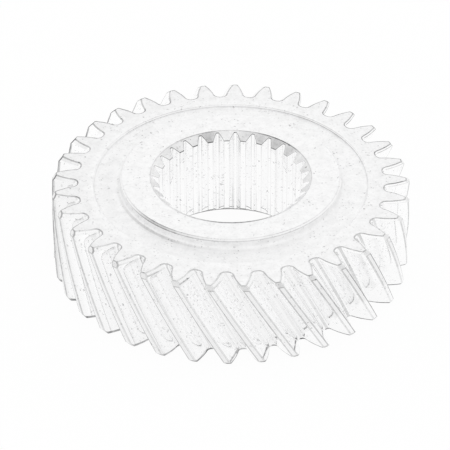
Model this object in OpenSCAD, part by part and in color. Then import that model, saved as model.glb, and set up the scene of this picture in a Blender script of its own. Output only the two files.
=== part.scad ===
// Left-hand helical gear with a splined bore, turned and hobbed from one piece of steel.
// Sizes in mm. The toothed rim stands on Z = 0 and the gear turns about the Z axis.

/* [Teeth] */
// Number of teeth on the rim
teeth = 33; // [31:1:40]
// Module measured square to the tooth
normal_module = 2.5; // [2.4:0.05:2.8]
// Pressure angle measured square to the tooth
pressure_angle = 20; // [18:0.5:22]
// Helix angle at the pitch circle
helix_angle = 28.3; // [20:0.1:32]
// Tooth height above the pitch circle, in modules
addendum = 1.2; // [0.9:0.05:1.25]
// Tooth depth below the pitch circle, in modules
dedendum = 1.45; // [1.3:0.05:1.5]
// Radius of the fillet at the foot of each flank
root_fillet = 1; // [0.6:0.1:1.1]
// Length of the teeth along the axis
face_width = 26.3; // [20:0.1:40]
// Turn of a tooth at mid width from the spline tooth on the X axis
tooth_turn = -1; // [-5:0.1:5]

/* [Tooth ends] */
// Height of the turned chamfer on the tooth tips, measured inward
tip_chamfer_depth = 1; // [0.4:0.1:1.5]
// Length of the turned chamfer on the tooth tips, measured along the axis
tip_chamfer_length = 1.3; // [0.5:0.1:2]
// Width of the chamfer that follows the flanks and roots at each end
flank_chamfer_width = 0.65; // [0.2:0.05:0.8]
// Length of that chamfer along the axis
flank_chamfer_length = 0.65; // [0.4:0.05:1.5]

/* [Body] */
// Solid thickness between the tooth roots and the recesses in the rim faces
rim_thickness = 5.2; // [4:0.1:6]
// Thickness of the hub wall outside the spline grooves
hub_wall = 8.9; // [7:0.1:10]
// Height of the upper hub face above the upper rim face
hub_rise = 1.9; // [0.5:0.1:4]
// Distance of the lower hub face inside the lower rim face
hub_sink = 0.8; // [0:0.1:2]
// Depth of the recess below the upper rim face
recess_depth = 1; // [0.6:0.1:3]
// Depth of the recess inside the lower rim face
lower_recess_depth = 3.7; // [3:0.1:7]
// Chamfer on the outer edges of the hub
hub_chamfer = 0.5; // [0.2:0.1:0.8]
// Radius of the fillet at the foot of the hub
hub_fillet = 1.2; // [0.5:0.1:1.5]
// Chamfer on the inner edges of the rim faces
rim_chamfer = 0.4; // [0.2:0.1:0.8]
// Radius of the fillet in the outer corner of each recess
recess_fillet = 0.5; // [0.3:0.1:0.8]

/* [Splined bore] */
// Number of spline teeth in the bore
spline_teeth = 27; // [24:1:30]
// Reference diameter of the spline, one module outside the tooth tips
spline_reference = 43; // [38:0.5:47]
// Pressure angle of the spline
spline_angle = 30; // [28:0.5:32]
// Depth of the groove floors outside the reference circle
spline_root_gap = 0.4; // [0.2:0.05:0.5]
// Gap between the groove floors and the wide end of the bore chamfer
bore_land = 0.5; // [0.2:0.05:1]
// Slope of the bore chamfer from the hub face
bore_chamfer_angle = 40; // [30:1:50]

/* [Hidden] */
steel = [0.74, 0.75, 0.76];
$fn = 96;
degrees_per_radian = 180 / PI;
nudge = 0.01;

// tooth form in the plane of rotation
pitch_r = teeth * normal_module / (2 * cos(helix_angle));
tip_r = pitch_r + addendum * normal_module;
root_r = pitch_r - dedendum * normal_module;
face_pressure = atan(tan(pressure_angle) / cos(helix_angle));
base_r = pitch_r * cos(face_pressure);
turn_per_mm = tan(helix_angle) / pitch_r * degrees_per_radian;
tooth_pitch = 360 / teeth;

// the tool that cuts one gap runs past the tips and past both rim faces
tool_clearance = 1.6;
tool_r = tip_r + tool_clearance;
tool_overrun = 0.5;
flank_steps = 4;
fillet_steps = 3;
body_steps = 5;

// spline, with its reference circle a fixed number of modules above the pitch circle
reference_modules = 1.1;
shift_modules = 0.2833;
spline_module = spline_reference / (spline_teeth + reference_modules + 2 * shift_modules);

// turned body
spline_pitch_r = spline_teeth * spline_module / 2;
spline_tip_r = spline_reference / 2 - spline_module;
spline_root_r = spline_reference / 2 + spline_root_gap;
spline_base_r = spline_pitch_r * cos(spline_angle);
chamfer_r = spline_root_r + bore_land;
chamfer_h = (chamfer_r - spline_tip_r) * tan(bore_chamfer_angle);
hub_r = spline_root_r + hub_wall;
recess_r = root_r - rim_thickness;
hub_top = face_width + hub_rise;
hub_bottom = hub_sink;
hub_length = hub_top - hub_bottom;
web_top = face_width - recess_depth;
web_bottom = lower_recess_depth;
corner_steps = 5;

// a fillet leaves a little of its wall straight
straight_wall = 0.05;
upper_hub_wall = hub_top - web_top - hub_chamfer - straight_wall;
lower_hub_wall = web_bottom - hub_bottom - hub_chamfer - straight_wall;
upper_rim_wall = recess_depth - rim_chamfer - straight_wall;
upper_hub_fillet = min(hub_fillet, upper_hub_wall);
lower_hub_fillet = min(hub_fillet, lower_hub_wall);
upper_recess_fillet = min(recess_fillet, upper_rim_wall);

// spline grooves
groove_steps = 3;
groove_inset = 0.6;

// involute function, in degrees
function involute(a) = tan(a) * degrees_per_radian - a;

// half the angle of a gear tooth at radius r
function tooth_half(r) =
    tooth_pitch / 4 - involute(acos(base_r / r)) + involute(face_pressure);

// one flank of a gap at radius r, with the middle of the gap on the X axis
function flank_point(r) =
    let (a = tooth_pitch / 2 - tooth_half(r))
    [r * cos(a), r * sin(a)];

function unit(v) = v / norm(v);

// direction from that flank into the metal
function flank_normal(r) =
    let (t = unit(flank_point(r + nudge) - flank_point(r)))
    [-t.y, t.x];

// the flank hands over to the root fillet where the fillet just reaches the root circle
function fillet_start(r) = root_r + root_fillet * (1 + flank_normal(r).x);
foot_r = fillet_start(fillet_start(root_r + root_fillet));
fillet_centre = flank_point(foot_r) - root_fillet * flank_normal(foot_r);
fillet_from = atan2(flank_normal(foot_r).y, flank_normal(foot_r).x);

// one side of the gap from the tool's outer end to the root, opened out by d
function gap_side(d) = concat(
    [for (i = [0:flank_steps])
        let (r = tool_r + (foot_r - tool_r) * i / flank_steps)
        flank_point(r) + d * flank_normal(r)],
    [for (i = [1:fillet_steps])
        let (a = fillet_from + (180 - fillet_from) * i / fillet_steps)
        fillet_centre + (root_fillet + d) * [cos(a), sin(a)]]
);

function turned(p, a) = [p.x * cos(a) - p.y * sin(a), p.x * sin(a) + p.y * cos(a)];

// outline of the gap at height z, turned along the helix
function gap_ring(z, d) =
    let (side = gap_side(d), last = len(side) - 1)
    let (a = -turn_per_mm * (z - face_width / 2))
    [for (p = concat(side, [for (i = [last:-1:0]) [side[i].x, -side[i].y]]))
        let (q = turned(p, a))
        [q.x, q.y, z]];

// heights of the outlines, each with the amount it is opened out
flare = flank_chamfer_width * (1 + tool_overrun / flank_chamfer_length);
body_length = face_width - 2 * flank_chamfer_length;
gap_levels = concat(
    [[-tool_overrun, flare]],
    [for (i = [0:body_steps]) [flank_chamfer_length + body_length * i / body_steps, 0]],
    [[face_width + tool_overrun, flare]]
);

module tooth_gap() {
    rings = [for (level = gap_levels) gap_ring(level[0], level[1])];
    count = len(rings[0]);
    top = len(rings) - 1;
    walls = [for (j = [0:top - 1], i = [0:count - 1])
        let (n = (i + 1) % count)
        let (a = j * count + i, b = j * count + n)
        let (c = a + count, d = b + count)
        each [[a, c, d], [a, d, b]]];
    floor_cap = [for (i = [0:count / 2 - 2])
        [i, i + 1, count - 2 - i, count - 1 - i]];
    roof_cap = [for (face = floor_cap)
        [for (i = [3:-1:0]) face[i] + top * count]];
    polyhedron(
        points = [for (ring = rings) each ring],
        faces = concat(walls, floor_cap, roof_cap),
        convexity = 4
    );
}

// half the angle of a spline groove at radius r
function groove_half(r) =
    90 / spline_teeth
    + 2 * shift_modules * tan(spline_angle) / spline_teeth * degrees_per_radian
    - involute(acos(spline_base_r / r)) + involute(spline_angle);

function groove_point(r, side) = r * [cos(groove_half(r)), side * sin(groove_half(r))];

module spline_groove() {
    from_r = spline_tip_r - groove_inset;
    radii = [for (i = [0:groove_steps])
        from_r + (spline_root_r - from_r) * i / groove_steps];
    translate([0, 0, hub_bottom - tool_overrun])
        linear_extrude(height = hub_length + 2 * tool_overrun)
            polygon(concat(
                [for (i = [0:groove_steps]) groove_point(radii[i], -1)],
                [for (i = [groove_steps:-1:0]) groove_point(radii[i], 1)]
            ));
}

// quarter of a fillet about centre c from angle a to angle b
function corner(c, r, a, b) = [for (i = [0:corner_steps])
    let (t = a + (b - a) * i / corner_steps)
    c + r * [cos(t), sin(t)]];

// half section of the turned body, radius against height
section = concat(
    [[spline_tip_r, hub_bottom + chamfer_h],
     [chamfer_r, hub_bottom],
     [hub_r - hub_chamfer, hub_bottom],
     [hub_r, hub_bottom + hub_chamfer]],
    corner([hub_r + lower_hub_fillet, web_bottom - lower_hub_fillet], lower_hub_fillet, 180, 90),
    corner([recess_r - recess_fillet, web_bottom - recess_fillet], recess_fillet, 90, 0),
    [[recess_r, rim_chamfer],
     [recess_r + rim_chamfer, 0],
     [tip_r - tip_chamfer_depth, 0],
     [tip_r, tip_chamfer_length],
     [tip_r, face_width - tip_chamfer_length],
     [tip_r - tip_chamfer_depth, face_width],
     [recess_r + rim_chamfer, face_width],
     [recess_r, face_width - rim_chamfer]],
    corner([recess_r - upper_recess_fillet, web_top + upper_recess_fillet], upper_recess_fillet, 0, -90),
    corner([hub_r + upper_hub_fillet, web_top + upper_hub_fillet], upper_hub_fillet, 270, 180),
    [[hub_r, hub_top - hub_chamfer],
     [hub_r - hub_chamfer, hub_top],
     [chamfer_r, hub_top],
     [spline_tip_r, hub_top - chamfer_h]]
);

module gear() {
    color(steel)
        difference() {
            rotate_extrude()
                polygon(section);
            for (k = [0:teeth - 1])
                rotate(tooth_turn + (k + 0.5) * tooth_pitch)
                    tooth_gap();
            for (k = [0:spline_teeth - 1])
                rotate((k + 0.5) * 360 / spline_teeth)
                    spline_groove();
        }
}

gear();
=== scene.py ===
import math

import bpy
import numpy as np
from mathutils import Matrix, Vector


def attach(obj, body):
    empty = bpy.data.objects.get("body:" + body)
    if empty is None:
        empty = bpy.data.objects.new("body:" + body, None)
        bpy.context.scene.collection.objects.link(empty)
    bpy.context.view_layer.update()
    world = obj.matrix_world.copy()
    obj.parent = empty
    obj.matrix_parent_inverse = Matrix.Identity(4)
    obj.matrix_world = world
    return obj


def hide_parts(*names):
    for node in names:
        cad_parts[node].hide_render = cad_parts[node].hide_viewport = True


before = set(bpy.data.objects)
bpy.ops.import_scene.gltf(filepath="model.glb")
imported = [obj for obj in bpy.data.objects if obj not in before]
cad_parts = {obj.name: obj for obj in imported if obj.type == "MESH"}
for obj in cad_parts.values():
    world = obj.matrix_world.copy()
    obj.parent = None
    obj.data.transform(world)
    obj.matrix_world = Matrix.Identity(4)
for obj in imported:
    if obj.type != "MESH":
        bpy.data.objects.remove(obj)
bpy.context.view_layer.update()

millimetre = 0.001
print("frame loaded:", sorted(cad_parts))

# Sizes are in millimetres and degrees. An amount painted round the axis is written as the amount all round,
# then a list of soft spots, each (centre, width, amount) in degrees from the X axis.
# painted shade on both rim faces, soft grey set spot by spot round the axis
rimFacePaintedShade = (0.01, [(175, 60, 0.045), (90, 50, 0.02), (0, 40, 0.025)])  # soft grey on both rim faces


# amount round the axis: the amount all round, plus for each spot its amount times
# exp(-(angle from its centre / its width) squared), kept between 0 and 1
def amountRound(setting, angle):
    allRound, spots = setting
    total = np.full_like(angle, allRound)
    for centre, width, amount in spots:
        away = np.angle(np.exp(1j * (angle - math.radians(centre))))
        total += amount * np.exp(-(away / math.radians(width)) ** 2)
    return np.clip(total, 0, 1)


# angle of an involute at a radius: tan(a) - a, with a the angle whose cosine is base radius over radius
def involuteAngle(baseRadius, radius):
    a = np.arccos(baseRadius / radius)
    return np.tan(a) - a


# half a profile with its mirror image in front, sharing the middle column
def withMirror(half, sign=1.0):
    return np.concatenate([half[:, :0:-1] * sign, half], axis=1)


# half a profile, mirrored and copied round the axis:
# angle = copy number times pitch, plus or minus the half profile's own angle
def copiesRound(halfAngle, halfRadius, count):
    turns = np.arange(count) * (2 * np.pi / count)
    angle = withMirror(halfAngle, -1.0)
    fullAngle = (angle[:, None, :] + turns[None, :, None]).reshape(len(angle), -1)
    return fullAngle, np.tile(withMirror(halfRadius), (1, count))


# points from radius, angle and height: radius times cosine and sine of the angle, and the height
def pointsAt(radius, angle, height):
    return np.stack(np.broadcast_arrays(radius * np.cos(angle), radius * np.sin(angle), height), axis=-1)


rimTeeth = {
    "count": 33,
    "columns": 27,  # points across one gap, from the middle of a tooth to the middle of the next
    "normalModule": 2.5,
    "pressureAngle": 20.0,
    "helixAngle": 28.3,
    "addendum": 1.2,
    "dedendum": 1.45,
    "rootFillet": 1.0,
    "filletColumns": 4,
    "faceWidth": 26.3,
    "turn": -1.0,  # tooth at mid width, from the X axis
    "tipChamferDepth": 1.0,
    "tipChamferLength": 1.3,
    "flankChamferWidth": 0.65,
    "flankChamferLength": 0.65,
    "edgeRound": 0.08,  # height of the small round on the tip edges
    "edgeRoundEnd": 0.3,  # share of that round which is left on the land
    "flankShares": (0.2, 0.42, 0.64, 0.83),  # columns on the flank, as shares of the way from foot to tip
    "lineReach": 0.24,  # how far the dark edge line fades out
    "tipReach": 0.42,  # the same on the flank, below the tip
    "faceReach": (0.32, 0.55),  # the same on the rim face, narrow and wide
    "landLine": 0.16,  # width of the line on the tip land
    "landReach": 0.36,
    "landRoom": 0.9,  # share of half a narrow land that its line may take
    "faceCircle": 41.8,  # ring on the rim face where the tooth columns start
    "cornerRing": 0.2,  # rings this far beside the ends of the chamfers
    "flankRing": 0.3,  # first ring on the flank above its chamfer
    "bodyRings": 14,
    # Dark edge lines: the end that rings are counted from, rings, side of the gap seen from outside, columns
    # out from the middle of the gap, and the amount round the axis. Ring 0 lies on the rim face, 1 on its
    # edge, 4 where the flank chamfer ends, 7 where the tip chamfer ends and 30 on the other edge.
    # Columns 0 to 3 are the root, 4 to 9 the flank, 10 the tip edge and 11 to 13 the land.
    "lines": [
        ("upper", (1, 1), "left", (4, 9),
         (0.4, [(-60, 30, -0.12), (-112, 30, -0.14), (-155, 18, -0.2), (35, 40, 0.4), (155, 25, 0.12)])),
        ("upper", (1, 1), "right", (4, 9),
         (0.5, [(-90, 30, -0.05), (0, 25, 0.2), (65, 30, 0.05), (135, 32, 0.42), (-175, 25, 0.2)])),
        ("upper", (0, 0), "right", (4, 9), (0.0, [(130, 32, 0.32)])),
        ("upper", (1, 1), "both", (0, 3),
         (0.45, [(-175, 25, 0.25), (-90, 25, -0.1), (55, 35, 0.35), (110, 30, 0.3)])),
        ("upper", (1, 1), "both", (10, 13),
         (0.42, [(150, 32, 0.4), (-95, 25, -0.27), (-25, 28, -0.15), (60, 50, 0.45)])),
        ("upper", (7, 7), "both", (11, 13), (0.25, [(165, 32, 0.5), (-25, 28, -0.18)])),
        ("upper", (4, 4), "left", (6, 10), (0.0, [(-110, 14, 0.35), (-85, 15, 0.12)])),
        ("upper", (4, 4), "right", (4, 10), (0.0, [(110, 20, 0.5), (50, 45, 0.75)])),
        ("upper", (4, 4), "left", (4, 10), (0.0, [(40, 45, 0.5)])),
        ("upper", (7, 17), "right", (10, 12), (0.42, [(160, 50, 0.55), (-30, 20, -0.1), (60, 50, 0.4)])),
        ("upper", (18, 30), "right", (10, 12), (0.42, [(160, 50, 0.55), (-30, 34, -0.26), (60, 50, 0.4)])),
        ("upper", (7, 30), "left", (10, 12), (0.22, [(150, 50, 0.78), (-32, 34, 0.48), (40, 40, 0.45)])),
        ("upper", (1, 6), "both", (10, 12), (0.0, [(150, 50, 0.95), (60, 40, 0.6), (-138, 22, 0.38)])),
        ("upper", (7, 30), "both", (9, 9), (0.0, [(140, 40, 0.7)])),
        ("upper", (1, 30), "left", (1, 1), (0.0, [(-122, 26, 0.4)])),
        ("upper", (1, 30), "right", (1, 2), (0.0, [(-40, 22, 0.35)])),
        ("upper", (4, 30), "left", (6, 6), (0.0, [(-46, 20, 0.1)])),
        ("lower", (1, 4), "both", (0, 3), (-0.05, [(-102, 26, 0.88), (180, 60, 0.6)])),
        ("lower", (1, 4), "right", (1, 3), (0.0, [(-72, 18, 0.7)])),
        ("lower", (4, 5), "both", (0, 0), (0.0, [(-62, 22, 0.95)])),
        ("lower", (4, 5), "right", (1, 3), (0.0, [(-62, 22, 0.95)])),
        ("lower", (5, 7), "both", (11, 13), (0.0, [(-38, 24, 0.8)])),
        ("lower", (1, 4), "both", (11, 13), (0.9, [(90, 75, -0.5), (-155, 40, -0.3)])),
        ("lower", (1, 4), "left", (4, 10), (-0.05, [(-140, 28, 0.8), (-94, 23, 0.8), (180, 30, 0.6)])),
        ("lower", (4, 5), "right", (4, 10), (0.0, [(-50, 42, 1.0), (0, 30, 0.5)])),
    ],
    # painted shade on roots, flanks, chamfers and rim faces, and painted dark reflections on the tip lands,
    # in the same form
    "paintedShades": [
        ("upper", (1, 30), "both", (0, 2), (0.02, [(-80, 28, 0.06)])),
        ("upper", (1, 30), "right", (1, 9), (0.0, [(-125, 30, 0.04)])),
        ("upper", (1, 17), "both", (12, 13), (0.09, [(-60, 45, 0.06)])),
        ("upper", (18, 30), "both", (12, 13), (0.09, [(-95, 25, 0.05), (-30, 34, -0.07)])),
        ("upper", (1, 7), "both", (10, 13), (0.05, [(-80, 32, 0.14)])),
        ("upper", (1, 4), "right", (4, 10), (0.0, [(108, 20, 0.12)])),
        ("upper", (1, 30), "both", (3, 10), (0.0, [(-175, 16, 0.09)])),
        ("upper", (2, 4), "both", (3, 10), (0.0, [(-110, 50, 0.1)])),
        ("upper", (4, 30), "left", (0, 4), (0.0, [(-130, 26, 0.06)])),
        ("upper", (4, 30), "left", (8, 10), (0.0, [(-128, 28, 0.08)])),
        ("lower", (5, 14), "right", (4, 10), (0.0, [(-42, 30, 0.03)])),
        ("upper", (-2, 0), "both", (0, 13), rimFacePaintedShade),
    ],
}


# half the angle of the gap between two teeth: a quarter pitch, plus the involute at the radius,
# less the involute at the pitch circle
def gapHalfAngle(sizes, radius):
    return sizes["pitchAngle"] / 4 + involuteAngle(sizes["baseRadius"], radius) - sizes["faceInvolute"]


# tooth sizes that follow from the settings
def toothSizes(s):
    helix, normalAngle = math.radians(s["helixAngle"]), math.radians(s["pressureAngle"])
    pitchRadius = s["count"] * s["normalModule"] / (2 * math.cos(helix))
    faceAngle = math.atan(math.tan(normalAngle) / math.cos(helix))
    sizes = {
        "pitchAngle": 2 * math.pi / s["count"],
        "tipRadius": pitchRadius + s["addendum"] * s["normalModule"],
        "rootRadius": pitchRadius - s["dedendum"] * s["normalModule"],
        "baseRadius": pitchRadius * math.cos(faceAngle),
        "faceInvolute": math.tan(faceAngle) - faceAngle,
        "turnPerMm": math.tan(helix) / pitchRadius,
    }
    base = sizes["baseRadius"]
    # the flank meets the root fillet where the fillet just touches the root circle
    foot = sizes["rootRadius"] + s["rootFillet"]
    for step in range(3):
        lean = gapHalfAngle(sizes, foot) + math.acos(base / foot)
        foot = sizes["rootRadius"] + s["rootFillet"] * (1 - math.sin(lean))
    angle = gapHalfAngle(sizes, foot)
    lean = angle + math.acos(base / foot)
    sizes["footReach"] = math.sqrt(foot ** 2 - base ** 2)
    sizes["filletFrom"] = lean + math.pi / 2
    sizes["filletX"] = foot * math.cos(angle) + s["rootFillet"] * math.sin(lean)
    sizes["filletY"] = foot * math.sin(angle) - s["rootFillet"] * math.cos(lean)
    return sizes


# toothed rim as a surface over (height, way round): the gap outline at each height, opened out by the end
# chamfers, cut off at the tip radius and turned along the helix by turnPerMm for each millimetre
def rimSurface(s, sizes, heights, inset):
    fromEnd = np.minimum(heights, s["faceWidth"] - heights)
    flankCut = s["flankChamferWidth"] * np.clip(1 - fromEnd / s["flankChamferLength"], 0, 1)
    tipCut = s["tipChamferDepth"] * np.clip(1 - fromEnd / s["tipChamferLength"], 0, 1)
    opened = (flankCut + inset)[:, None]
    tip = (sizes["tipRadius"] - tipCut - inset)[:, None]
    base = sizes["baseRadius"]
    # floor and root fillet, from the middle of the gap out to the foot of the flank
    sweep = np.linspace(math.pi, sizes["filletFrom"], s["filletColumns"])[None, :]
    filletX = sizes["filletX"] + (s["rootFillet"] + opened) * np.cos(sweep)
    filletY = sizes["filletY"] + (s["rootFillet"] + opened) * np.sin(sweep)
    rootX = np.concatenate([filletX[:, :1], filletX], axis=1)
    rootY = np.concatenate([filletY[:, :1] * 0, filletY], axis=1)
    # flank: an involute opened out by a distance is the same involute turned by distance over base radius
    foot = np.sqrt(base ** 2 + (sizes["footReach"] - opened) ** 2)
    flank = foot + (tip - foot) * np.array([s["flankShares"]])
    flank = np.concatenate([flank, tip - s["tipReach"], tip - s["edgeRound"]], axis=1)
    flankAngle = gapHalfAngle(sizes, flank) + opened / base
    # rounded tip edge and tip land
    edge = gapHalfAngle(sizes, tip) + opened / base
    room = np.minimum(1.0, s["landRoom"] * (sizes["pitchAngle"] / 2 - edge) * tip / s["landReach"])
    roundEnd = s["edgeRoundEnd"] * s["edgeRound"]
    landAngle = edge + room * np.array([[roundEnd, s["landLine"], s["landReach"]]]) / tip
    land = np.concatenate([tip - roundEnd, tip, tip], axis=1)
    angle = np.concatenate([np.arctan2(rootY, rootX), flankAngle, landAngle], axis=1)
    radius = np.concatenate([np.hypot(rootX, rootY), flank, land], axis=1)
    angle, radius = copiesRound(angle, radius, s["count"])
    radius[[0, -1]] = s["faceCircle"]
    helixTurn = sizes["turnPerMm"] * (heights - s["faceWidth"] / 2)
    angle = angle + math.radians(s["turn"]) + sizes["pitchAngle"] / 2 - helixTurn[:, None]
    return pointsAt(radius, angle, heights[:, None])


# rings of the toothed rim from the lower face up, with the line, painted shade and polish that each point
# carries
def rimRings(s, sizes):
    flankEnd, tipEnd, beside = s["flankChamferLength"], s["tipChamferLength"], s["cornerRing"]
    fromEnd = np.array([0.0, s["lineReach"], flankEnd - beside, flankEnd, flankEnd + s["flankRing"],
                        tipEnd - beside, tipEnd, tipEnd + beside])
    body = np.linspace(fromEnd[-1], s["faceWidth"] - fromEnd[-1], s["bodyRings"] + 2)[1:-1]
    faceRings = 3  # rings that lie on each rim face
    lowerEnd = np.concatenate([np.zeros(faceRings), fromEnd])
    heights = np.concatenate([lowerEnd, body, (s["faceWidth"] - lowerEnd)[::-1]])
    inset = np.zeros(len(heights))
    inset[[2, -3]], inset[[0, 1, -2, -1]] = s["faceReach"]
    points = rimSurface(s, sizes, heights, inset)
    angle = np.arctan2(points[..., 1], points[..., 0])
    ring = np.arange(len(heights))[:, None] + 1 - faceRings
    fromTop = ring[::-1]
    column = np.tile(np.arange(s["columns"]) - s["columns"] // 2, s["count"])[None, :]
    outward = np.abs(column)
    sides = {"left": column < 0, "right": column > 0, "both": outward >= 0}

    def patch(end, rings, side, columns):
        place = fromTop if end == "upper" else ring
        inRings = (place >= rings[0]) & (place <= rings[1])
        return inRings & sides[side] & (outward >= columns[0]) & (outward <= columns[1])

    line, paintedShade = np.zeros_like(angle), np.zeros_like(angle)
    for end, rings, side, columns, amount in s["lines"]:
        where = patch(end, rings, side, columns)
        line[where] = np.maximum(line[where], amountRound(amount, angle[where]))
    # painted shade and painted dark reflections, spread over their rings and columns by angle round the axis
    for end, rings, side, columns, amount in s["paintedShades"]:
        paintedShade += amountRound(amount, angle) * patch(end, rings, side, columns)
    onTeeth = np.minimum(ring, fromTop) > 1
    polish = np.broadcast_to(onTeeth * 1.0, angle.shape)
    return points, line, paintedShade, polish


splineBore = {
    "count": 27,
    "columns": 33,  # points across one groove, from the middle of a spline tooth to the middle of the next
    "module": 1.5,
    "angle": 30.0,
    "shift": 0.2833,  # profile shift in modules
    "tipRadius": 20.0,
    "rootRadius": 21.9,
    "chamferRadius": 22.4,
    "chamferAngle": 40.0,
    "chamferPolish": -0.4,  # duller than the turned faces, which are 0
    "floorShares": (0.0, 0.35, 0.65, 1.0),  # columns on half a groove floor
    "flankColumns": 6,
    "landColumns": 6,
    "lineReach": 0.2,
    "lowerReach": (0.1, 0.26),
    "lowerConeReach": 1.2,
    "coneShares": (0.48, 0.4),  # most of the lower and of the upper cone that a fading line may take
    "floorCornerLine": 0.048,
    "tipCornerLine": 0.08,
    "circleLine": (0.2, [(-90, 32, 0.75), (52, 20, 0.5), (120, 14, 0.2)]),
    "upperLine": (0.12, [(122, 34, 0.8), (68, 28, 0.55), (165, 20, 0.25)]),
    "lowerCircleLine": (0.0, [(90, 70, 0.85)]),
    "lowerConeLine": (0.0, [(90, 65, 1.0)]),
    "lowerWallLine": (0.0, [(90, 50, 0.9)]),
    # painted shade and painted dark reflections on the spline tooth ends of the bore chamfers, spot by spot
    # round the axis
    "chamferPaintedShade": (0.015, [
        (107, 6.5, 0.38), (80, 6, 0.14), (67, 7, 0.25), (53, 7, 0.32), (39, 7, 0.2), (12, 14, 0.1),
        (122, 8, 0.09), (140, 12, 0.08)]),
}

around = rimTeeth["count"] * rimTeeth["columns"]  # the same number of points in every ring
assert around == splineBore["count"] * splineBore["columns"]


# half the angle of a spline groove: a quarter pitch with the profile shift, less the involute at the radius,
# plus the involute at the pitch circle
def grooveHalfAngle(s, radius):
    a = math.radians(s["angle"])
    base = s["count"] * s["module"] / 2 * math.cos(a)
    quarter = math.pi / (2 * s["count"]) + 2 * s["shift"] * math.tan(a) / s["count"]
    return quarter - involuteAngle(base, radius) + math.tan(a) - a


# bore as a surface over (way up, way round): the spline outline raised from the lower chamfer cone to the
# upper one, with a cone of chamferAngle joining it to a circle at each hub face
def boreRings(s, bottom, top):
    reach, halfPitch = s["lineReach"], math.pi / s["count"]
    tipEdge = grooveHalfAngle(s, s["tipRadius"])
    floorAngle = np.array(s["floorShares"]) * grooveHalfAngle(s, s["rootRadius"])
    flank = np.linspace(s["rootRadius"] - reach, s["tipRadius"] + reach, s["flankColumns"])
    landAngle = np.linspace(tipEdge + reach / s["tipRadius"], halfPitch, s["landColumns"], endpoint=False)
    landAngle = np.concatenate([[tipEdge], landAngle])
    angle = np.concatenate([floorAngle, grooveHalfAngle(s, flank), landAngle])[None, :]
    radius = np.concatenate([
        np.full_like(floorAngle, s["rootRadius"]), flank, np.full_like(landAngle, s["tipRadius"])])[None, :]
    cornerLine = np.zeros_like(angle)
    cornerLine[0, len(floorAngle) - 1] = s["floorCornerLine"]
    cornerLine[0, len(floorAngle) + len(flank)] = s["tipCornerLine"]
    cornerLine = np.tile(withMirror(cornerLine), (1, s["count"]))
    angle, radius = copiesRound(angle, radius, s["count"])
    angle = angle + halfPitch
    slope = math.tan(math.radians(s["chamferAngle"]))
    width = s["chamferRadius"] - radius

    # four rings from the circle in to the spline outline
    def cone(near):
        radii = np.concatenate([
            np.full_like(radius, s["chamferRadius"]), s["chamferRadius"] - near, radius + near, radius])
        return radii, (s["chamferRadius"] - radii) * slope

    lowerRadius, lowerRise = cone(np.minimum(s["lowerConeReach"], s["coneShares"][0] * width))
    upperRadius, upperDrop = cone(np.minimum(reach, s["coneShares"][1] * width))
    low, high = bottom + lowerRise[-1:], top - upperDrop[-1:]
    thirds = np.array([[1 / 3], [2 / 3]])
    wall = np.concatenate([
        low + s["lowerReach"][0], low + s["lowerReach"][1], low + (high - low) * thirds, high - reach])
    heights = np.concatenate([bottom + lowerRise, wall, (top - upperDrop)[::-1]])
    radii = np.concatenate([lowerRadius, np.tile(radius, (len(wall), 1)), upperRadius[::-1]])

    def painted(name):
        return amountRound(s[name], angle[0])

    wallLine = np.tile(cornerLine, (len(wall), 1))
    wallLine[0] = np.maximum(wallLine[0], painted("lowerWallLine"))
    lowerLine = [painted("lowerCircleLine")] * 2 + [painted("lowerConeLine")] * 2
    upperLine = [painted("upperLine"), np.zeros(around), np.zeros(around), painted("circleLine")]
    line = np.concatenate([lowerLine, wallLine, upperLine])
    paintedShade, polish = np.zeros_like(line), np.ones_like(line)
    coneRings = len(lowerLine)  # the innermost of them is the end of the polished wall
    # both chamfer cones of the bore carry that painted shade
    paintedShade[:coneRings] = paintedShade[-coneRings:] = painted("chamferPaintedShade")
    polish[:coneRings - 1] = polish[1 - coneRings:] = s["chamferPolish"]
    return pointsAt(radii, angle, heights), line, paintedShade, polish


# turned faces of hub, web and rim
gearBody = {
    "rimThickness": 5.2,
    "hubRadius": 30.8,
    "hubRise": 1.9,
    "hubSink": 0.8,
    "recessDepth": 1.0,
    "lowerRecessDepth": 3.7,
    "hubChamfer": 0.5,
    "hubFillet": 1.2,
    "hubFilletRings": 6,
    "paintedShadeRings": (3, 4),  # rings of the hub fillet, from its top, that carry its painted shade
    "rimChamfer": 0.4,
    "recessFillet": 0.5,
    "recessFilletRings": 4,
    "straightWall": 0.05,  # left of the recess wall above its fillet
    "faceCircle": 41.5,  # last plain ring on the rim face
    "lineReach": 0.22,
    "lineShare": 0.4,  # most of a narrow face that a fading line may take
    "boreReach": (0.3, 0.6),
    "boreLine": (0.0, [(-90, 32, 0.75)]),
    "hubLine": (0.02, [(-130, 26, 0.4), (-60, 20, 0.26), (-20, 25, 0.1)]),
    "hubFootLine": (0.02, [(-130, 28, 0.45), (-60, 30, 0.28), (-95, 20, 0.12)]),
    "recessLine": (0.05, [(122, 25, 0.38), (85, 20, 0.2), (52, 24, 0.55), (18, 22, 0.3)]),
    "rimEdgeLine": (0.02, [(122, 22, 0.26), (60, 25, 0.28)]),
    # painted dark reflection on the hub chamfer, darkest at the near left
    "hubChamferPaintedShade": (0.02, [(-133, 12, 0.25), (-115, 28, 0.08)]),
    # painted shade in the crease of the hub's foot fillet, darkest at the near left
    "filletPaintedShade": (0.02, [(-135, 30, 0.3)]),
    # painted shade on the web, darker on the left
    "webPaintedShade": (0.0, [(175, 55, 0.045)]),
    "rimFacePaintedShade": rimFacePaintedShade,
}


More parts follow.
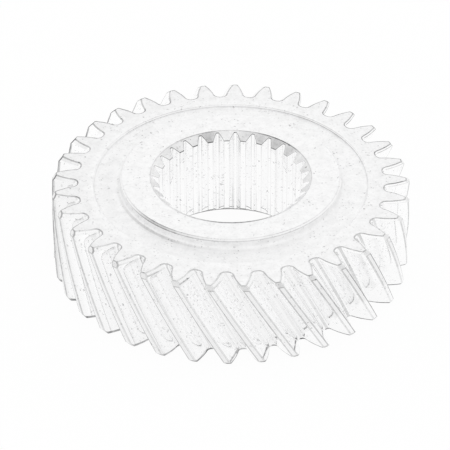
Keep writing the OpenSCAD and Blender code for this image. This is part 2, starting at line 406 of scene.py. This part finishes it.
# section path with extra points on both sides of each lined corner, so the edge line keeps its width
def linedPath(s, corners):
    path = []
    for i, (radius, height, line, paintedShade) in enumerate(corners):
        here = np.array([radius, height])
        for other in (i - 1, i + 1):
            if other == i + 1:
                path.append((radius, height, line, paintedShade))
            if line and 0 <= other < len(corners):
                there = np.array(corners[other][:2])
                length = np.linalg.norm(there - here)
                beside = here + (there - here) * min(s["lineReach"], s["lineShare"] * length) / length
                between = paintedShade if corners[other][3] == paintedShade else None
                path.append((beside[0], beside[1], None, between))
    return path


# quarter round of a fillet: centre plus radius times cosine and sine of the sweep
def filletArc(x, z, radius, fromAngle, toAngle, steps):
    sweep = np.radians(np.linspace(fromAngle, toAngle, steps))
    return [(x + radius * math.cos(a), z + radius * math.sin(a)) for a in sweep]


# section of the turned faces on one side, from the bore chamfer out to the teeth: radius, height and the
# names of the line and the painted shade at each point, with up as 1 on the upper side and -1 on the lower
# one
def turnedPath(s, boreRadius, recessRadius, hubFace, rimFace, webFace, up):
    def at(height):
        return rimFace + up * height

    rise, web = (hubFace - rimFace) * up, (webFace - rimFace) * up
    hub, foot = s["hubRadius"], s["hubFillet"]
    corner = min(s["recessFillet"], -web - s["rimChamfer"] - s["straightWall"])
    boreEdge, boreClear = (boreRadius + reach for reach in s["boreReach"])
    hubFoot = filletArc(hub + foot, web + foot, foot, 180, 270, s["hubFilletRings"])
    recessFoot = filletArc(recessRadius - corner, web + corner, corner, -90, 0, s["recessFilletRings"])
    middle = (hub + foot + recessRadius - corner) / 2
    corners = [(boreClear, at(rise), None, None),
               (hub - s["hubChamfer"], at(rise), "hubLine", "hubChamferPaintedShade"),
               (hub, at(rise - s["hubChamfer"]), "hubFootLine", "hubChamferPaintedShade")]
    for i, (radius, height) in enumerate(hubFoot):
        corners.append((radius, at(height), None, "filletPaintedShade" if i in s["paintedShadeRings"] else None))
    corners.append((middle, at(web), None, "webPaintedShade"))
    corners += [(radius, at(height), None, None) for radius, height in recessFoot]
    corners += [(recessRadius, at(-s["rimChamfer"]), "recessLine", None),
                (recessRadius + s["rimChamfer"], at(0.0), "rimEdgeLine", None),
                (s["faceCircle"], at(0.0), None, "rimFacePaintedShade")]
    return [(boreEdge, at(rise), "boreLine", None)] + linedPath(s, corners)


# path turned about the axis
def turnedRings(s, path):
    angle = np.angle(np.exp(1j * np.arange(around) * (2 * np.pi / around)))
    radius = np.array([point[0] for point in path])[:, None]
    height = np.array([point[1] for point in path])[:, None]

    def painted(name):
        return amountRound(s[name], angle) if name else np.zeros(around)

    line = np.stack([painted(point[2]) for point in path])
    paintedShade = np.stack([painted(point[3]) for point in path])
    return pointsAt(radius, angle, height), line, paintedShade, np.zeros_like(line)


sharpAngle = 28.0  # edges that turn by more stay crisp
faintestLine = 0.03


# whole steps that a ring is rolled by to lie beside another ring with the least shear
def rollBeside(ring, other):
    phase = np.angle((ring[:, 0] + 1j * ring[:, 1]) / (other[:, 0] + 1j * other[:, 1]))
    mean = np.angle(np.mean(np.exp(1j * phase)))
    return int(round(mean / (2 * np.pi / around)))


# whole skin as one stack of rings: down the teeth, in along the lower faces, up the bore and out along the
# upper faces
def gearRings():
    sizes = toothSizes(rimTeeth)
    width, boreRadius = rimTeeth["faceWidth"], splineBore["chamferRadius"]
    recessRadius = sizes["rootRadius"] - gearBody["rimThickness"]
    hubTop, hubBottom = width + gearBody["hubRise"], gearBody["hubSink"]
    webTop, webBottom = width - gearBody["recessDepth"], gearBody["lowerRecessDepth"]
    lowerPath = turnedPath(gearBody, boreRadius, recessRadius, hubBottom, 0.0, webBottom, -1)
    upperPath = turnedPath(gearBody, boreRadius, recessRadius, hubTop, width, webTop, 1)
    lower, upper = turnedRings(gearBody, lowerPath[::-1]), turnedRings(gearBody, upperPath)
    blocks = [[part[::-1] for part in rimRings(rimTeeth, sizes)]]
    for block in (lower, boreRings(splineBore, hubBottom, hubTop), upper):
        roll = rollBeside(block[0][0], blocks[-1][0][-1])
        blocks.append([np.roll(part, roll, axis=1) for part in block])
    return [np.concatenate(parts) for parts in zip(*blocks)]


# a line's depth reaches the points beside it, where its shape has faded out
def lineMarks(line):
    shape, depth = (line > faintestLine) * 1.0, line
    for axis in (0, 1):
        grown = np.maximum(np.roll(depth, 1, axis=axis), np.roll(depth, -1, axis=axis))
        depth = np.where(shape > 0, line, np.maximum(depth, grown))
    return shape, depth


# closed mesh: each ring joined to the next, and the last to the first
def makeGear():
    points, line, paintedShade, polish = gearRings()
    rows = len(points)
    index = np.arange(rows * around).reshape(rows, around)
    closing = rollBeside(points[0], points[-1])
    after = np.concatenate([index[1:], np.roll(index[:1], closing, axis=1)])
    quads = np.stack([index, after, np.roll(after, -1, axis=1), np.roll(index, -1, axis=1)], axis=-1)
    mesh = bpy.data.meshes.new("helicalGear")
    mesh.from_pydata(points.reshape(-1, 3) * millimetre, [], quads.reshape(-1, 4))
    mesh.update()
    shape, depth = lineMarks(line)
    # the paintedShade mark holds painted shade and painted dark reflections
    marks = {"lineShape": shape, "lineDepth": depth, "paintedShade": paintedShade, "polish": polish}
    for name, value in marks.items():
        mark = mesh.attributes.new(name, "FLOAT", "POINT")
        mark.data.foreach_set("value", value.reshape(-1).astype(np.float32))
    mesh.shade_smooth()
    mesh.set_sharp_from_angle(angle=math.radians(sharpAngle))
    print("gear mesh:", len(mesh.vertices), "points,", len(mesh.polygons) * 2, "triangles, rings", rows)
    return mesh


# volume inside the mesh, positive when its faces point outward:
# a sixth of the sum of a . (b x c) over its triangles
def signedVolume(mesh):
    mesh.calc_loop_triangles()
    places = np.empty(len(mesh.vertices) * 3)
    mesh.vertices.foreach_get("co", places)
    triangles = np.empty(len(mesh.loop_triangles) * 3, int)
    mesh.loop_triangles.foreach_get("vertices", triangles)
    a, b, c = np.moveaxis(places.reshape(-1, 3)[triangles.reshape(-1, 3)], 1, 0)
    return float(np.einsum("ij,ij->i", a, np.cross(b, c)).sum() / 6)


gearMesh = makeGear()
print("gear volume in mm3:", round(signedVolume(gearMesh) / millimetre ** 3, 1))
gear = bpy.data.objects.new("helicalGear", gearMesh)
bpy.context.scene.collection.objects.link(gear)
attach(gear, "root")
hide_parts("gear")


# a socket that takes part in sums: each operator adds a Math node
class Flow:
    def __init__(self, tree, socket=None):
        self.tree, self.socket = tree, socket

    def make(self, kind, settings, inputs, output=0):
        node = self.tree.nodes.new(kind)
        for name, value in settings.items():
            setattr(node, name, value)
        for key, value in inputs.items():
            if isinstance(value, Flow):
                self.tree.links.new(value.socket, node.inputs[key])
            else:
                node.inputs[key].default_value = value
        return Flow(self.tree, node.outputs[output] if node.outputs else None)

    def math(self, operation, *values):
        return self.make("ShaderNodeMath", {"operation": operation}, dict(enumerate(values)))

    def __add__(self, other):
        return self.math("ADD", self, other)

    def __sub__(self, other):
        return self.math("SUBTRACT", self, other)

    def __rsub__(self, other):
        return self.math("SUBTRACT", other, self)

    def __mul__(self, other):
        return self.math("MULTIPLY", self, other)

    __radd__, __rmul__ = __add__, __mul__

    # 0 to 1 as the value goes from low to high, with soft ends
    def fade(self, low, high):
        return self.make("ShaderNodeMapRange", {"interpolation_type": "SMOOTHSTEP"},
                         {"Value": self, "From Min": low, "From Max": high})

    def clamped(self):
        return self.make("ShaderNodeClamp", {}, {"Value": self})


def newMaterial(name):
    material = bpy.data.materials.new(name)
    material.use_nodes = True
    tree = material.node_tree
    tree.nodes.clear()
    return material, Flow(tree)


# pale satin steel with fine specks, broach lines in the bore, painted shade and painted dark reflections,
# and dark lines along the edges
# noise is given as (scale, low, high), with the limits that it fades between
steelFinish = {
    "turned": (0.975, 0.975, 0.976, 1),
    "cut": (0.999, 0.999, 1.0, 1),  # tooth flanks and bore
    "dark": (0.07, 0.07, 0.073, 1),
    "turnedMetallic": 0.6,
    "turnedRoughness": 0.3,
    "cutRoughness": 0.09,
    "boreRoughness": 0.06,
    "boreFade": (0.02195, 0.0221),  # radius where the bore's own finish ends, in metres
    "lineFade": (0.1, 0.65),
    "lineBreak": 0.3,
    "lineNoise": (700.0, 0.35, 0.7),
    "paintedShadeBreak": 0.8,
    "paintedShadeScale": 2400.0,
    # cell in metres, size in cells, chance below which a speck fades out, and what is left between clusters
    "fineSpecks": {"cell": 0.0009, "size": (0.12, 0.36), "chance": (0.45, 0.65), "strength": 0.44,
                   "cluster": (260.0, 0.35, 0.7), "least": 0.15},
    "coarseSpecks": {"cell": 0.0022, "size": (0.05, 0.17), "chance": (0.5, 0.7), "strength": 0.6,
                     "cluster": (90.0, 0.3, 0.7), "least": 0.2},
    "speckWarp": 0.0012,
    "warpScale": 1800.0,
    "mottle": 0.075,
    "mottleNoise": [(1500.0, 0.4, 0.8), (420.0, 0.3, 0.8)],
    "mottleLostOnCut": 0.85,
    "broachStrength": 0.03,
    "broachNoise": (2600.0, 0.45, 0.75),
    "broachStretch": (0.02, 0.03),  # across and along the bore
    "bumpStrength": 0.12,
    "bumpDepth": 0.00005,
}


def steelMaterial(s):
    material, flow = newMaterial("paleSteel")
    place = flow.make("ShaderNodeTexCoord", {}, {}, "Object")
    x, y, z = (flow.make("ShaderNodeSeparateXYZ", {}, {0: place}, i) for i in range(3))
    radius = flow.math("SQRT", x * x + y * y)
    angle = flow.math("ARCTAN2", y, x)

    def noise(scale, detail=2.0, vector=place, output="Fac"):
        inputs = {"Vector": vector, "Scale": scale, "Detail": detail}
        return flow.make("ShaderNodeTexNoise", {}, inputs, output)

    def fadedNoise(setting, vector=place):
        scale, low, high = setting
        return noise(scale, vector=vector).fade(low, high)

    wobble = noise(s["warpScale"], detail=1.0, output="Color")
    bent = flow.make("ShaderNodeVectorMath", {"operation": "MULTIPLY_ADD"}, {
        0: wobble, 1: (s["speckWarp"],) * 3, 2: place})

    def specks(kind):
        inputs = {"Vector": bent, "Scale": 1 / kind["cell"]}
        distance = flow.make("ShaderNodeTexVoronoi", {"feature": "F1"}, inputs, "Distance")
        tint = flow.make("ShaderNodeTexVoronoi", {"feature": "F1"}, inputs, "Color")
        chance = flow.make("ShaderNodeSeparateColor", {}, {0: tint}, 0)
        dots = (1 - distance.fade(*kind["size"])) * chance.fade(*kind["chance"])
        thinned = kind["least"] + (1 - kind["least"]) * fadedNoise(kind["cluster"])
        return dots * thinned * kind["strength"]

    def painted(name):
        return flow.make("ShaderNodeAttribute", {"attribute_name": name}, {}, "Fac")

    def mixed(share, first, second):
        return flow.make("ShaderNodeMix", {"data_type": "RGBA"}, {0: share, 6: first, 7: second}, 2)

    cut = painted("polish")
    broken = 1 - s["lineBreak"] * fadedNoise(s["lineNoise"])
    lineMark = painted("lineShape").fade(*s["lineFade"]) * painted("lineDepth") * broken
    # painted shade and painted dark reflections, broken up by noise, darken the colour along with the lines
    # and specks
    paintedShadeMark = painted("paintedShade") * (1 + s["paintedShadeBreak"] * (noise(s["paintedShadeScale"]) - 0.5))
    speckMark = specks(s["fineSpecks"]) + specks(s["coarseSpecks"])
    fineMottle, broadMottle = (fadedNoise(setting) for setting in s["mottleNoise"])
    grain = (fineMottle + broadMottle) * s["mottle"] * (1 - s["mottleLostOnCut"] * cut)
    inBore = 1 - radius.fade(*s["boreFade"])
    across, along = s["broachStretch"]
    ribbon = flow.make("ShaderNodeCombineXYZ", {}, {0: angle * across, 1: z * along})
    broach = fadedNoise(s["broachNoise"], ribbon) * inBore * s["broachStrength"]
    amount = (lineMark + paintedShadeMark + speckMark + grain + broach).clamped()
    colour = mixed(amount, mixed(cut, s["turned"], s["cut"]), s["dark"])
    cutRough = s["cutRoughness"] + inBore * (s["boreRoughness"] - s["cutRoughness"])
    bump = flow.make("ShaderNodeBump", {}, {
        "Height": 1 - speckMark, "Strength": s["bumpStrength"], "Distance": s["bumpDepth"]})
    steel = flow.make("ShaderNodeBsdfPrincipled", {}, {
        "Base Color": colour,
        "Metallic": s["turnedMetallic"] + cut * (1 - s["turnedMetallic"]),
        "Roughness": s["turnedRoughness"] + cut * (cutRough - s["turnedRoughness"]),
        "Normal": bump})
    flow.make("ShaderNodeOutputMaterial", {}, {"Surface": steel})
    return material


gearMesh.materials.append(steelMaterial(steelFinish))
print("steel finish made")

# camera, fitted to the photograph
photoView = {
    "imageSize": 450,
    "elevation": 34.848,
    "distance": 0.91984,
    "focalPixels": 3307.31,
    "targetPixel": (230.764, 180.964),  # where the middle of the upper rim face lands
    "sensor": 36.0,
}


def makeCamera(s):
    tilt = math.radians(s["elevation"])
    right = Vector((1, 0, 0))
    up = Vector((0, math.sin(tilt), math.cos(tilt)))
    forward = Vector((0, math.cos(tilt), -math.sin(tilt)))
    target = Vector((0, 0, rimTeeth["faceWidth"] * millimetre))
    data = bpy.data.cameras.new("photoCamera")
    data.sensor_width = s["sensor"]
    data.lens = s["focalPixels"] / s["imageSize"] * s["sensor"]
    camera = bpy.data.objects.new("photoCamera", data)
    camera.location = target - forward * s["distance"]
    aside, below = ((s["imageSize"] / 2 - pixel) / s["focalPixels"] for pixel in s["targetPixel"])
    look = forward + right * aside - up * below
    camera.rotation_mode = "QUATERNION"
    camera.rotation_quaternion = look.to_track_quat("-Z", "Y")
    bpy.context.scene.collection.objects.link(camera)
    bpy.context.scene.camera = camera


makeCamera(photoView)
print("camera placed")

# white room with two soft dark flags, each a direction, inner and outer angle in degrees, and depth
whiteRoom = {
    "flags": [
        ((-0.74, -0.05, 0.67), 6.0, 26.0, 0.15),
        ((-0.05, -0.95, 0.28), 6.0, 26.0, 0.01),
    ],
    "floorHalf": 3.0,  # half the floor's width, in metres
    "floorLevel": -0.00005,
    "floorWhite": 0.96,  # the rest of the floor's tone shows the gear's shadow
    "floorColour": (0.95, 0.95, 0.95, 1),
}


# light that everything but the camera sees: white, less each flag
def makeWorld(s):
    world = bpy.data.worlds.new("whiteRoom")
    world.use_nodes = True
    world.node_tree.nodes.clear()
    flow = Flow(world.node_tree)
    direction = flow.make("ShaderNodeTexCoord", {}, {}, "Generated")
    camera = flow.make("ShaderNodeLightPath", {}, {}, "Is Camera Ray")
    light = 1.0
    for way, inner, outer, depth in s["flags"]:
        near = flow.make("ShaderNodeVectorMath", {"operation": "DOT_PRODUCT"}, {
            0: direction, 1: Vector(way).normalized()}, "Value")
        light = light * (1 - depth * near.fade(math.cos(math.radians(outer)), math.cos(math.radians(inner))))
    strength = flow.math("MAXIMUM", light, camera)
    sky = flow.make("ShaderNodeBackground", {}, {"Color": (1, 1, 1, 1), "Strength": strength})
    flow.make("ShaderNodeOutputWorld", {}, {"Surface": sky})
    bpy.context.scene.world = world


# floor: white to the camera and in reflections, and still shaded a little by the gear
def makeFloor(s):
    mesh = bpy.data.meshes.new("paleFloor")
    half, level = s["floorHalf"], s["floorLevel"]
    corners = [(-half, -half, level), (half, -half, level), (half, half, level), (-half, half, level)]
    mesh.from_pydata(corners, [], [(0, 1, 2, 3)])
    floor = bpy.data.objects.new("paleFloor", mesh)
    bpy.context.scene.collection.objects.link(floor)
    material, flow = newMaterial("whitePaper")
    camera, glossy, through = (
        flow.make("ShaderNodeLightPath", {}, {}, name)
        for name in ("Is Camera Ray", "Is Glossy Ray", "Is Transmission Ray"))
    seen = (camera + glossy + through).clamped() * s["floorWhite"]
    matt = flow.make("ShaderNodeBsdfDiffuse", {}, {"Color": s["floorColour"]})
    white = flow.make("ShaderNodeEmission", {}, {"Color": (1, 1, 1, 1), "Strength": 1.0})
    paper = flow.make("ShaderNodeMixShader", {}, {0: seen, 1: matt, 2: white})
    flow.make("ShaderNodeOutputMaterial", {}, {"Surface": paper})
    mesh.materials.append(material)


makeWorld(whiteRoom)
makeFloor(whiteRoom)
print("room and floor made")

bpy.context.scene.cycles.max_bounces = 32  # light leaves the bore after many reflections
bpy.context.scene.cycles.glossy_bounces = 32
bpy.context.scene.view_settings.view_transform = "Standard"
